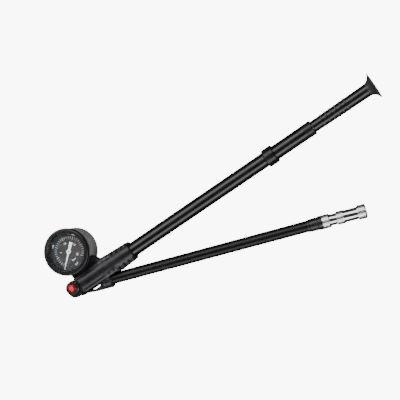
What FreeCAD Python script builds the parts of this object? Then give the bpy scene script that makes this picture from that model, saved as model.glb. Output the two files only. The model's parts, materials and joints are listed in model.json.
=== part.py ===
import FreeCAD, Part
import math
import os
import re

import Sketcher
from FreeCAD import Placement, Rotation, Vector

# High-pressure shock (suspension) pump lying flat: gauge face up, barrel along +X, hose folded beside
# the barrel. Every piece is drawn in the pump's axes, whose zero is a point of the barrel's axis right
# beside the pivot pin, and is then placed in the row's frame, whose zero is the middle of the footprint.
# Lengths along the hose are measured on the hose's own line, from the foot of the pin's distance to it.

SIZES = {
    # broken edges and small clearances
    "break_small": 0.3,
    "break_edge": 0.4,
    "break_soft": 0.5,
    "break_wide": 0.6,
    "break_collar": 0.7,
    "small_room": 0.1,
    "rod_room": 0.3,
    # barrel and handle, along X from zero
    "tube_start": 44.0,
    "tube_end": 248.7,
    "tube_radius": 6.5,
    "tube_bore": 5.5,
    "collar_start": 207.5,
    "collar_end": 217.1,
    "collar_radius": 8.15,
    "gland_end": 256.3,
    "gland_radius": 6.6,
    "gland_inner": 238.0,
    "bush_start": 240.0,
    "bush_end": 250.0,
    "bush_radius": 4.6,
    "wiper_radius": 0.5,
    "wiper_x": 253.5,
    "wiper_seat": 0.6,
    "wiper_room": 1.05,
    "rod_start": 50.0,
    "rod_end": 309.0,
    "rod_radius": 3.5,
    "rod_step": 1.0,
    "run_gap": 0.05,
    "piston_start": 52.0,
    "piston_end": 61.0,
    "piston_radius": 5.4,
    "piston_ring_x": 56.5,
    "piston_ring_radius": 0.9,
    "ring_groove": 1.75,
    "nut_start": 48.6,
    "rod_nut_radius": 4.4,
    "handle_start": 256.6,
    "handle_near_radius": 5.15,
    "handle_far_radius": 5.75,
    "rib_first": 266.0,
    "rib_pitch": 4.7,
    "rib_width": 1.5,
    "rib_height": 0.45,
    "flare_start": 311.4,
    "flare_end": 318.4,
    "flare_radius": 11.8,
    "rim_width": 1.0,
    "flare_arc": 7.4,
    "screw_radius": 3.2,
    "screw_depth": 1.6,
    "socket_radius": 1.2,
    "socket_depth": 1.0,
    # head
    "block_half": 9.0,
    "boss_half": 9.9,
    "boss_radius": 6.7,
    "pin_boss": 6.3,
    "side_minus": 9.7,
    "side_plus": 9.6,
    "block_left": 5.0,
    "tip_y": 0.5,
    "chin_x": 2.0,
    "chin_y": 6.8,
    "jaw_x": 9.3,
    "brow_x": 5.0,
    "brow_drop": 0.6,
    "temple_x": 11.0,
    "side_taper": 0.8,
    "block_end": 46.0,
    "block_round": 4.0,
    "slot_half": 7.65,
    "slot_radius": 7.5,
    "slot_run": 1.2,
    "slot_gap": 0.4,
    "crown_start": 6.6,
    "grip_start": 28.0,
    "grip_end": 63.4,
    "grip_big": 10.5,
    "grip_small": 8.8,
    "notch_first": 30.1,
    "notch_pitch": 5.17,
    "notch_width": 1.8,
    "notch_depth": 0.6,
    "side_notch_depth": 0.8,
    "notch_sweep": 104.0,
    "valve_bore": 1.9,
    "valve_bore_start": 33.0,
    "seat_width": 3.0,
    "seat_hole": 1.0,
    "ball_radius": 1.5,
    "ball_x": 42.8,
    "neck_half": 6.4,
    "neck_foot_near": 11.0,
    "neck_foot_far": 18.5,
    "neck_top_near": 9.0,
    "neck_top_far": 11.0,
    "neck_sunk": 1.0,
    "neck_short": 10.0,
    "port_radius": 1.0,
    "port_y": 6.6,
    # gauge, drawn about its own axis
    "gauge_x": 14.85,
    "gauge_y": 29.95,
    "case_radius": 20.5,
    "case_wall": 1.3,
    "case_round": 1.2,
    "case_top": 13.2,
    "case_corner": 1.0,
    "bezel_radius": 21.2,
    "bezel_low": 12.4,
    "bezel_top": 16.8,
    "bezel_round": 1.7,
    "window_radius": 17.4,
    "lens_radius": 19.3,
    "lens_low": 14.0,
    "lens_high": 15.2,
    "dial_low": 7.2,
    "dial_high": 8.0,
    "dial_radius": 18.4,
    "dial_hole": 1.2,
    "needle_low": 8.8,
    "needle_high": 9.2,
    "needle_length": 15.0,
    "needle_tail": 8.6,
    "needle_rest": 222.0,
    "needle_tip": 0.15,
    "needle_waist": 0.75,
    "needle_tail_half": 1.5,
    "hub_radius": 1.9,
    "hub_height": 1.1,
    "arbor_radius": 0.6,
    "plate_low": 2.6,
    "plate_high": 3.8,
    "plate_half": 6.0,
    "plate_reach": 12.0,
    "pinion_radius": 1.0,
    "gear_low": 0.6,
    "gear_high": 1.8,
    "sector_reach": 8.0,
    "sector_y": 9.1,
    "sector_rest": -17.0,
    "sector_spread": 24.0,
    "sector_foot": 1.2,
    "stem_radius": 4.0,
    "stem_low_y": 5.6,
    "stem_high_y": 17.5,
    "bourdon_ring": 11.5,
    "bourdon_tube_radius": 1.3,
    "bourdon_sweep": 250.0,
    "bourdon_start": -68.0,
    "bourdon_drop": 4.0,
    "foot_half": 4.0,
    "foot_low": 6.0,
    "foot_high": 2.6,
    "foot_length": 8.0,
    # bleed valve and pivot pin, along Z; the pin stands a little off the barrel's axis
    "pin_x": 0.4,
    "pin_y": 0.5,
    "boss_x": 0.9,
    "boss_y": -2.0,
    "pin_radius": 2.95,
    "pin_head_radius": 4.6,
    "pin_head_width": 1.5,
    "pin_bore": 2.2,
    "pin_bore_floor": 3.0,
    "bleed_radius": 6.2,
    "bleed_top": 12.1,
    "button_radius": 4.7,
    "button_face": 3.0,
    "button_low": 11.0,
    "button_flange": 5.0,
    "button_high": 14.4,
    "button_room": 0.15,
    "flange_height": 0.35,
    "button_step": 0.5,
    "button_slope": 1.1,
    "bleed_pin_length": 7.0,
    "bleed_point": 0.6,
    "rim_outer": 5.7,
    "rim_low": 11.45,
    "spring_seat": 7.0,
    "needle_valve_radius": 0.6,
    # hose arm, along the hose; the hose's line runs beside the pin
    "hose_angle": 18.1,
    "hose_offset": 1.0,
    "eye_radius": 6.8,
    "eye_half": 7.45,
    "arm_end": 35.4,
    "arm_radius": 7.4,
    "lug_half": 4.0,
    "lug_taper": 6.0,
    "lug_slim": 0.8,
    "shank_radius": 5.6,
    "sleeve_start": 26.5,
    "window_start": 11.0,
    "window_end": 24.0,
    "window_inner": 1.9,
    "window_outer_near": 4.1,
    "window_outer_far": 2.6,
    "window_arc": 14.0,
    "window_slant_near": 2.0,
    "window_slant_far": 0.9,
    "barb_shank": 2.0,
    "barb_start": 26.5,
    "sleeve_chamfer": 1.6,
    "seal_seat": 1.2,
    "seal_reach": 1.15,
    "seal_radius": 0.5,
    "shank_step": 1.0,
    "seal_level": 4.6,
    "barb_radius": 2.45,
    "barb_length": 11.0,
    "air_radius": 1.2,
    # hose
    "hose_radius": 5.0,
    "hose_bore": 2.5,
    "hose_end": 217.7,
    "hose_bend_near": 85.0,
    "hose_bend_far": 168.0,
    "chuck_drop": 5.6,
    # chuck
    "band_start": 216.0,
    "band_radius": 5.35,
    "ferrule_end": 229.2,
    "ferrule_ring": 3.5,
    "ferrule_slope": 4.0,
    "ferrule_near_radius": 5.65,
    "ferrule_far_radius": 6.05,
    "knurl_end": 235.5,
    "knurl_radius": 6.0,
    "neck_end": 241.5,
    "neck_radius": 4.8,
    "nut_ring_end": 248.2,
    "nut_ring_radius": 5.75,
    "nut_sleeve_end": 260.0,
    "nut_sleeve_radius": 5.2,
    "nut_end": 267.1,
    "nut_radius": 6.2,
    "nut_gap": 0.2,
    "spigot_radius": 3.0,
    "spigot_depth": 3.0,
    "chuck_bore": 2.0,
    "spigot_flange": 4.2,
    "spigot_flange_start": 250.9,
    "spigot_end": 252.6,
    "chamber_radius": 4.45,
    "thread_radius": 3.85,
    "thread_length": 8.0,
    "seal_width": 2.6,
    "depressor_radius": 0.9,
    "depressor_start": 239.0,
    "depressor_end": 258.4,
    "depressor_flange": 1.7,
    "flange_width": 1.2,
    "spring_room": 3.0,
}

RIB_COUNT = 6
NOTCH_COUNT = 7
BLOCK_NOTCHES = 3
OPEN_STOP = 150.0

doc = FreeCAD.newDocument("shock_pump")
sheet = doc.addObject("Spreadsheet::Sheet", "Dims")
for row, (alias, number) in enumerate(SIZES.items(), 1):
    sheet.set(f"A{row}", alias)
    sheet.set(f"B{row}", str(number))
    sheet.setAlias(f"B{row}", alias)
doc.recompute()

pieces = []

# Zero of the pump's axes in the row's frame, and zero of the gauge's axes.
PIVOT_X = "(bezel_radius - gauge_x - flare_end) / 2"
PIVOT_Y = ("((arm_end - sleeve_chamfer) * sin(hose_angle) + (arm_radius + hose_offset) * cos(hose_angle)"
           " - pin_y - gauge_y - bezel_radius) / 2")
PIVOT_Z = "flare_radius"
PUMP_PLACE = (PIVOT_X, PIVOT_Y, PIVOT_Z)
GAUGE_PLACE = (f"{PIVOT_X} + gauge_x", f"{PIVOT_Y} + gauge_y", PIVOT_Z)
PIN_PLACE = (f"{PIVOT_X} + pin_x", f"{PIVOT_Y} + pin_y", PIVOT_Z)
HOSE_PLACE = (f"{PIN_PLACE[0]} - hose_offset * sin(hose_angle)",
              f"{PIN_PLACE[1]} - hose_offset * cos(hose_angle)", PIVOT_Z)
HOSE_TURN = "0 - hose_angle"


def bound(text):
    """Expression with each alias written as a cell of the sheet."""
    return re.sub(r"[a-z]+(?:_[a-z]+)+", r"Dims.\g<0>", text)


def value(text):
    """Number that an expression stands for."""
    return float(sheet.evalExpression(bound(text)))


def bind(piece, **sizes):
    """Bind properties of an object to expressions."""
    for name, text in sizes.items():
        piece.setExpression(name, bound(text))


def place(piece, label, where=PUMP_PLACE, turn=None):
    """Label a finished piece and bind its place, turned about Z by an expression in degrees."""
    piece.Label = label
    base = Vector(*[value(text) for text in where])
    spin = Rotation(Vector(0, 0, 1), value(turn)) if turn else Rotation()
    piece.Placement = Placement(base, spin)
    for axis, text in zip("xyz", where):
        piece.setExpression(f".Placement.Base.{axis}", bound(text))
    if turn:
        piece.setExpression(".Placement.Rotation.Angle", bound(turn))
    pieces.append(piece)


def new_body(name):
    return doc.addObject("PartDesign::Body", name)


def new_sketch(body, plane, offset=None):
    """Sketch on one of the body's own origin planes, raised by an expression."""
    sketch = body.newObject("Sketcher::SketchObject", "sketch")
    support = [item for item in body.Origin.OriginFeatures if item.Role == plane]
    sketch.AttachmentSupport = [(support[0], "")]
    sketch.MapMode = "FlatFace"
    if offset:
        sketch.setExpression(".AttachmentOffset.Base.z", bound(offset))
    return sketch


def fix_point(sketch, edge, end, across, up):
    """Hold one end of an edge at two expressions from the sketch's zero."""
    for kind, text, axis in (("DistanceX", across, -2), ("DistanceY", up, -1)):
        if text == "0":
            sketch.addConstraint(Sketcher.Constraint("PointOnObject", edge, end, axis))
            continue
        number = value(text)
        index = sketch.addConstraint(Sketcher.Constraint(kind, -1, 1, edge, end, number))
        sketch.setExpression(f"Constraints[{index}]", bound(text))


def arc_through(start, stop, radius, side):
    """Arc from start to stop, its centre on the left of travel for side 1 and on the right for -1."""
    chord = stop - start
    half = chord.Length / 2
    rise = math.sqrt(max(radius * radius - half * half, 0.0))
    left = Vector(-chord.y, chord.x, 0).normalize()
    centre = start + chord * 0.5 + left * (rise * side)
    angles = [math.atan2(point.y - centre.y, point.x - centre.x) for point in (start, stop)]
    if side < 0:
        angles.reverse()
    if angles[1] < angles[0]:
        angles[1] += 2 * math.pi
    return Part.ArcOfCircle(Part.Circle(centre, Vector(0, 0, 1), radius), angles[0], angles[1])


def outline(body, plane, corners, offset=None):
    """Closed sketch through corners (across, up). A corner (across, up, side, radius) starts an arc."""
    sketch = new_sketch(body, plane, offset)
    spots = [Vector(value(corner[0]), value(corner[1]), 0) for corner in corners]
    ends = []
    for here, there, corner in zip(spots, spots[1:] + spots[:1], corners):
        if len(corner) == 2:
            edge = sketch.addGeometry(Part.LineSegment(here, there))
            ends.append((edge, 1, 2))
            continue
        side, radius = corner[2:]
        edge = sketch.addGeometry(arc_through(here, there, value(radius), side))
        ends.append((edge, 1, 2) if side > 0 else (edge, 2, 1))
        index = sketch.addConstraint(Sketcher.Constraint("Radius", edge, value(radius)))
        sketch.setExpression(f"Constraints[{index}]", bound(radius))
    for (edge, _, stop), (following, start, _) in zip(ends, ends[1:] + ends[:1]):
        sketch.addConstraint(Sketcher.Constraint("Coincident", edge, stop, following, start))
    for (edge, start, _), corner in zip(ends, corners):
        fix_point(sketch, edge, start, corner[0], corner[1])
    return sketch


def disc(body, plane, across, up, radius, offset=None):
    """Sketch of one circle."""
    sketch = new_sketch(body, plane, offset)
    centre = Vector(value(across), value(up), 0)
    edge = sketch.addGeometry(Part.Circle(centre, Vector(0, 0, 1), value(radius)))
    index = sketch.addConstraint(Sketcher.Constraint("Radius", edge, value(radius)))
    sketch.setExpression(f"Constraints[{index}]", bound(radius))
    fix_point(sketch, edge, 3, across, up)
    return sketch


def revolve(body, sketch, axis="H_Axis", cut=False):
    """Turn a sketch about its own axis, adding to the body or cutting from it."""
    kind = "PartDesign::Groove" if cut else "PartDesign::Revolution"
    feature = body.newObject(kind, "turned")
    feature.Profile = sketch
    feature.ReferenceAxis = (sketch, [axis])
    feature.Angle = 360
    return feature


def extrude(body, sketch, length, both=False, cut=False, backwards=False):
    """Pad or pocket a sketch, to both sides of its plane or along it."""
    feature = body.newObject("PartDesign::Pocket" if cut else "PartDesign::Pad", "drawn")
    feature.Profile = sketch
    feature.Midplane = both
    feature.Reversed = backwards
    bind(feature, Length=length)
    return feature


def round_edges(body, base, radius, chosen):
    """Fillet the edges of a feature whose middle passes a test."""
    doc.recompute()
    names = [
        f"Edge{number}"
        for number, edge in enumerate(base.Shape.Edges, 1)
        if chosen(edge.CenterOfMass)
    ]
    rounding = body.newObject("PartDesign::Fillet", "rounding")
    rounding.Base = (base, names)
    bind(rounding, Radius=radius)
    doc.recompute()


def turned(label, corners, axis="H_Axis", where=PUMP_PLACE, turn=None):
    """Piece turned about X (corners are x, radius) or about Z (corners are radius, z)."""
    body = new_body(label)
    revolve(body, outline(body, "XZ_Plane", corners), axis)
    place(body, label, where, turn)
    return body


def ring(label, radius, thickness, along, axis, where=PUMP_PLACE, turn=None):
    """O-ring about an axis through a place, its centre at an expression along that axis."""
    torus = doc.addObject("Part::Torus", label)
    bind(torus, Radius1=radius, Radius2=thickness)
    torus.Label = label
    swing = value(turn) if turn else 0.0
    spin = Rotation(Vector(0, 0, 1), swing)
    reach = spin.multVec(axis * value(along))
    zero = Vector(*[value(text) for text in where])
    stand = Rotation(Vector(0, 0, 1), axis)
    torus.Placement = Placement(zero + reach, spin.multiply(stand))
    pieces.append(torus)
    return torus


def coil(label, radius, wire, start, length, turns, axis, where=PUMP_PLACE, turn=None):
    """Compression spring wound from start over length along an axis through a place."""
    pitch = value(length) / turns
    thin = value(wire)
    helix = Part.makeHelix(pitch, value(length), value(radius))
    section = Part.Wire([Part.makeCircle(thin, Vector(value(radius), 0, 0), Vector(0, 1, 0))])
    pipe = Part.Wire(helix.Edges).makePipeShell([section], True, True)
    spring = doc.addObject("Part::Feature", label)
    spring.Label = label
    spring.Shape = pipe
    spin = Rotation(Vector(0, 0, 1), value(turn) if turn else 0.0)
    zero = Vector(*[value(text) for text in where])
    stand = Rotation(Vector(0, 0, 1), axis)
    spring.Placement = Placement(zero + spin.multVec(axis * value(start)), spin.multiply(stand))
    pieces.append(spring)
    return spring


def tube_corners(start, stop, outer, inner):
    return [(start, inner), (stop, inner), (stop, outer), (start, outer)]


def taper_radius(x):
    """Radius of the head's grip at x, as an expression."""
    return f"grip_big - (grip_big - grip_small) * ({x} - grip_start) / (grip_end - grip_start)"


def notch_span(number):
    """First and last x of a finger notch, as expressions."""
    start = f"notch_first + {number} * notch_pitch"
    return start, f"{start} + notch_width"


def cut_side_notch(body, number, side, edge):
    """Shallow upright notch in the flat side of the head's block."""
    start, stop = notch_span(number)
    floor = f"{side} * ({edge} - side_notch_depth)"
    corners = [
        (start, f"{side} * ({edge} + 2)"),
        (f"{start} + break_small", floor),
        (f"{stop} - break_small", floor),
        (stop, f"{side} * ({edge} + 2)"),
    ]
    extrude(body, outline(body, "XY_Plane", corners), "4 * block_half", both=True, cut=True)


def cut_notch(body, number, side):
    """Finger notch across one flank of the grip, on the gauge's side for 1 and the hose's for -1."""
    start, stop = notch_span(number)
    floor = f"({taper_radius(start)} - notch_depth)"
    above = "(side_plus + 2)"
    corners = [
        (start, f"{side} * {above}"),
        (start, f"{side} * ({floor} + break_edge)"),
        (f"{start} + break_edge", f"{side} * {floor}"),
        (f"{stop} - break_edge", f"{side} * {floor}"),
        (stop, f"{side} * ({floor} + break_edge)"),
        (stop, f"{side} * {above}"),
    ]
    notch = revolve(body, outline(body, "XY_Plane", corners), cut=True)
    notch.Midplane = True
    bind(notch, Angle="notch_sweep")


def slot_corners():
    """Plan about the pin of the slot that the arm swings in, from its folded to its open stop."""
    folded = "hose_angle"
    opened = f"(hose_angle + {OPEN_STOP})"
    edge = "slot_radius"
    far = "60"
    near_stop = (f"pin_x + {edge} * sin({folded})", f"pin_y + {edge} * cos({folded})")
    open_stop = (f"pin_x - {edge} * sin({opened})", f"pin_y - {edge} * cos({opened})")
    mouth = "(arm_end + slot_run)"
    above_hose = "(hose_radius - hose_offset + slot_gap)"
    step = (f"pin_x + {above_hose} * sin({folded})", f"pin_y + {above_hose} * cos({folded})")
    return [
        (open_stop[0], open_stop[1], -1, edge),
        near_stop,
        (f"{near_stop[0]} + {mouth} * cos({folded})", f"{near_stop[1]} - {mouth} * sin({folded})"),
        (f"{step[0]} + {mouth} * cos({folded})", f"{step[1]} - {mouth} * sin({folded})"),
        (f"{step[0]} + {far} * cos({folded})", f"{step[1]} - {far} * sin({folded})"),
        (f"{far}", f"-{far}"),
        (f"-{far}", f"-{far}"),
        (f"{open_stop[0]} + {far} * cos({opened})", f"{open_stop[1]} - {far} * sin({opened})"),
    ]


def open_side_relief():
    """Plan of the room that the arm's sleeve needs at its open stop."""
    opened = f"(hose_angle + {OPEN_STOP})"
    near = "slot_radius"
    wide = "(arm_radius + hose_offset + slot_gap)"
    corners = []
    for along, side in (("8", near), ("8", wide), ("60", wide), ("60", near)):
        corners.append((
            f"pin_x + {along} * cos({opened}) - {side} * sin({opened})",
            f"pin_y - {along} * sin({opened}) - {side} * cos({opened})",
        ))
    return corners


def build_head():
    """Moulded head: cheeks about the hose arm, ribbed grip about the barrel, neck to the gauge."""
    body = new_body("head_body")
    block = [
        ("-block_left", "-tip_y"),
        ("chin_x", "-chin_y"),
        ("jaw_x", "-side_minus"),
        ("block_end", "-side_minus"),
        ("block_end", "side_plus - side_taper"),
        ("notch_first + 1.6 * notch_pitch", "side_plus"),
        ("temple_x", "side_plus"),
        ("brow_x", "side_plus - brow_drop"),
    ]
    cheeks = extrude(body, outline(body, "XY_Plane", block), "2 * block_half", both=True)
    half = value("block_half")
    round_edges(body, cheeks, "block_round", lambda spot: abs(abs(spot.z) - half) < 1e-6)
    extrude(body, disc(body, "XY_Plane", "boss_x", "boss_y", "boss_radius"), "2 * boss_half", both=True)
    extrude(body, disc(body, "XY_Plane", "pin_x", "pin_y", "pin_boss"), "2 * boss_half", both=True)
    revolve(body, outline(body, "XZ_Plane", [
        ("crown_start", "0"),
        ("crown_start", "grip_big - 1"),
        ("crown_start + 1", "grip_big"),
        ("grip_start", "grip_big"),
        ("grip_end - break_wide", taper_radius("(grip_end - break_wide)")),
        ("grip_end", "grip_small - break_wide"),
        ("grip_end", "0"),
    ]))
    for number in range(NOTCH_COUNT):
        for side, edge in ((1, "side_plus"), (-1, "side_minus")):
            if number < BLOCK_NOTCHES:
                cut_side_notch(body, number, side, edge)
            else:
                cut_notch(body, number, side)
    neck = [
        ("gauge_x - neck_foot_near", "side_plus - neck_sunk"),
        ("gauge_x + neck_foot_far", "side_plus - neck_sunk"),
        ("gauge_x + neck_top_far", "gauge_y - neck_short"),
        ("gauge_x - neck_top_near", "gauge_y - neck_short"),
    ]
    extrude(body, outline(body, "XY_Plane", neck), "2 * neck_half", both=True)
    seat = disc(body, "XY_Plane", "gauge_x", "gauge_y", "case_radius")
    extrude(body, seat, "40", both=True, cut=True)
    for plan in (slot_corners(), open_side_relief()):
        extrude(body, outline(body, "XY_Plane", plan), "2 * slot_half", both=True, cut=True)
    socket = [
        ("valve_bore_start", "0"),
        ("valve_bore_start", "valve_bore"),
        ("tube_start", "valve_bore"),
        ("tube_start", "tube_radius"),
        ("grip_end + 1", "tube_radius"),
        ("grip_end + 1", "0"),
    ]
    revolve(body, outline(body, "XZ_Plane", socket), cut=True)
    extrude(body, disc(body, "XY_Plane", "pin_x", "pin_y", "pin_radius"), "30", both=True, cut=True)
    recess = disc(body, "XY_Plane", "pin_x", "pin_y", "pin_head_radius + small_room", offset="-boss_half")
    extrude(body, recess, "pin_head_width", cut=True, backwards=True)
    side_way = disc(body, "XZ_Plane", "valve_bore_start + 2", "0", "port_radius")
    extrude(body, side_way, "port_y + port_radius", cut=True)
    long_way = disc(body, "YZ_Plane", "port_y + 1", "0", "port_radius", offset="gauge_x")
    extrude(body, long_way, "valve_bore_start + 2 - gauge_x", cut=True, backwards=True)
    stem_hole = disc(body, "XZ_Plane", "gauge_x", "0", "stem_radius", offset="-stem_low_y")
    extrude(body, stem_hole, "10", cut=True)
    place(body, "head_body")


def build_barrel():
    turned("barrel_tube", tube_corners("tube_start", "tube_end", "tube_radius", "tube_bore"))
    soft = "break_collar"
    turned("mid_collar", [
        ("collar_start", "tube_radius"),
        ("collar_end", "tube_radius"),
        ("collar_end", f"collar_radius - {soft}"),
        (f"collar_end - {soft}", "collar_radius"),
        (f"collar_start + {soft}", "collar_radius"),
        ("collar_start", f"collar_radius - {soft}"),
    ])
    turned("barrel_gland", [
        ("gland_inner", "tube_bore"),
        ("gland_inner", "bush_radius"),
        ("bush_end", "bush_radius"),
        ("bush_end", "rod_radius + rod_room"),
        ("wiper_x - wiper_seat", "rod_radius + rod_room"),
        ("wiper_x - wiper_seat", "rod_radius + wiper_room"),
        ("wiper_x + wiper_seat", "rod_radius + wiper_room"),
        ("wiper_x + wiper_seat", "rod_radius + rod_room"),
        ("gland_end", "rod_radius + rod_room"),
        ("gland_end", "gland_radius - break_soft"),
        ("gland_end - break_soft", "gland_radius"),
        ("tube_end", "gland_radius"),
        ("tube_end", "tube_bore"),
    ])
    turned("rod_bush", tube_corners("bush_start", "bush_end", "bush_radius", "rod_radius + run_gap"))
    ring("rod_wiper", "rod_radius + run_gap + wiper_radius", "wiper_radius", "wiper_x", Vector(1, 0, 0))


def build_check_valve():
    """One-way valve between the barrel and the head's air ways."""
    turned("valve_seat", tube_corners("tube_start", "tube_start + seat_width", "tube_bore", "seat_hole"))
    ball = doc.addObject("Part::Sphere", "valve_ball")
    bind(ball, Radius="ball_radius")
    place(ball, "valve_ball", (f"{PIVOT_X} + ball_x", PIVOT_Y, PIVOT_Z))
    coil("valve_spring", "1.2", "0.2", "valve_bore_start + 0.25", "ball_x - valve_bore_start - 1.65", 6,
         Vector(1, 0, 0))


def build_plunger():
    """Rod with the piston on its inner end and the handle on its outer end."""
    turned("piston_rod", [
        ("rod_start", "0"),
        ("rod_start", "rod_radius - rod_step"),
        ("piston_end", "rod_radius - rod_step"),
        ("piston_end", "rod_radius"),
        ("rod_end", "rod_radius"),
        ("rod_end", "0"),
    ])
    groove = "piston_ring_radius + small_room"
    bore = "rod_radius - rod_step + run_gap"
    turned("piston", [
        ("piston_start", bore),
        ("piston_end", bore),
        ("piston_end", "piston_radius"),
        (f"piston_ring_x + {groove}", "piston_radius"),
        (f"piston_ring_x + {groove}", "piston_radius - ring_groove"),
        (f"piston_ring_x - ({groove})", "piston_radius - ring_groove"),
        (f"piston_ring_x - ({groove})", "piston_radius"),
        ("piston_start", "piston_radius"),
    ])
    ring("piston_ring", "tube_bore - run_gap - piston_ring_radius", "piston_ring_radius", "piston_ring_x",
         Vector(1, 0, 0))
    turned("piston_nut",
           tube_corners("nut_start", "piston_start", "rod_nut_radius", "rod_radius - rod_step"))


def handle_radius(x):
    """Radius of the handle's tapered tube at x, as an expression."""
    rise = "(handle_far_radius - handle_near_radius)"
    return f"handle_near_radius + {rise} * ({x} - handle_start) / (flare_start - handle_start)"


def build_handle():
    corners = [("handle_start", "rod_radius"), ("handle_start", "handle_near_radius - break_edge"),
               ("handle_start + break_edge", "handle_near_radius")]
    for rib in range(RIB_COUNT):
        start = f"rib_first + {rib} * rib_pitch"
        stop = f"rib_first + {rib} * rib_pitch + rib_width"
        corners += [
            (start, handle_radius(start)),
            (f"{start} + break_edge", f"{handle_radius(start)} + rib_height"),
            (f"{stop} - break_edge", f"{handle_radius(stop)} + rib_height"),
            (stop, handle_radius(stop)),
        ]
    corners += [("flare_start", "handle_far_radius"), ("flare_start", "rod_radius")]
    turned("handle_grip", corners)
    turned("handle_flare", [
        ("flare_start", "0"),
        ("flare_start", "handle_far_radius", 1, "flare_arc"),
        ("flare_end - rim_width", "flare_radius - break_small"),
        ("flare_end - rim_width + break_small", "flare_radius"),
        ("flare_end - break_edge", "flare_radius"),
        ("flare_end", "flare_radius - break_edge"),
        ("flare_end", "screw_radius + break_small"),
        ("flare_end - screw_depth", "screw_radius + break_small"),
        ("flare_end - screw_depth", "0"),
    ])
    turned("handle_screw", [
        ("flare_end - screw_depth", "0"),
        ("flare_end - screw_depth", "screw_radius"),
        ("flare_end - break_wide", "screw_radius"),
        ("flare_end - break_small", "screw_radius - break_small"),
        ("flare_end - break_small", "socket_radius"),
        ("flare_end - socket_depth", "socket_radius"),
        ("flare_end - socket_depth", "0"),
    ])


def build_gauge():
    """Pressure gauge: cup, bezel, lens, dial, needle and the Bourdon movement behind the dial."""
    back = "-flare_radius"
    case = new_body("gauge_case")
    cup = [
        ("0", back),
        ("case_radius - case_round", back),
        ("case_radius", f"{back} + case_round"),
        ("case_radius", "case_top"),
        ("case_radius - case_wall", "case_top"),
        ("case_radius - case_wall", f"{back} + 2"),
        ("case_radius - case_wall - case_corner", f"{back} + case_wall"),
        ("0", f"{back} + case_wall"),
    ]
    revolve(case, outline(case, "XZ_Plane", cup), "V_Axis")
    port = disc(case, "XZ_Plane", "0", "0", "stem_radius")
    extrude(case, port, "case_radius + 1", cut=True, backwards=True)
    place(case, "gauge_case", GAUGE_PLACE)
    turned("gauge_bezel", [
        ("case_radius", "bezel_low"),
        ("bezel_radius - break_soft", "bezel_low"),
        ("bezel_radius", "bezel_low + break_soft"),
        ("bezel_radius", "bezel_top - bezel_round", 1, "bezel_round"),
        ("bezel_radius - bezel_round", "bezel_top"),
        ("window_radius + break_soft", "bezel_top"),
        ("window_radius", "bezel_top - break_soft"),
        ("window_radius", "lens_high"),
        ("lens_radius", "lens_high"),
        ("lens_radius", "lens_low"),
        ("case_radius - case_wall", "lens_low"),
        ("case_radius - case_wall", "case_top"),
        ("case_radius", "case_top"),
    ], "V_Axis", GAUGE_PLACE)
    turned("gauge_lens", [
        ("0", "lens_low"),
        ("lens_radius", "lens_low"),
        ("lens_radius", "lens_high"),
        ("0", "lens_high"),
    ], "V_Axis", GAUGE_PLACE)
    turned("dial_plate", [
        ("dial_hole", "dial_low"),
        ("dial_radius", "dial_low"),
        ("dial_radius", "dial_high"),
        ("dial_hole", "dial_high"),
    ], "V_Axis", GAUGE_PLACE)


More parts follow.
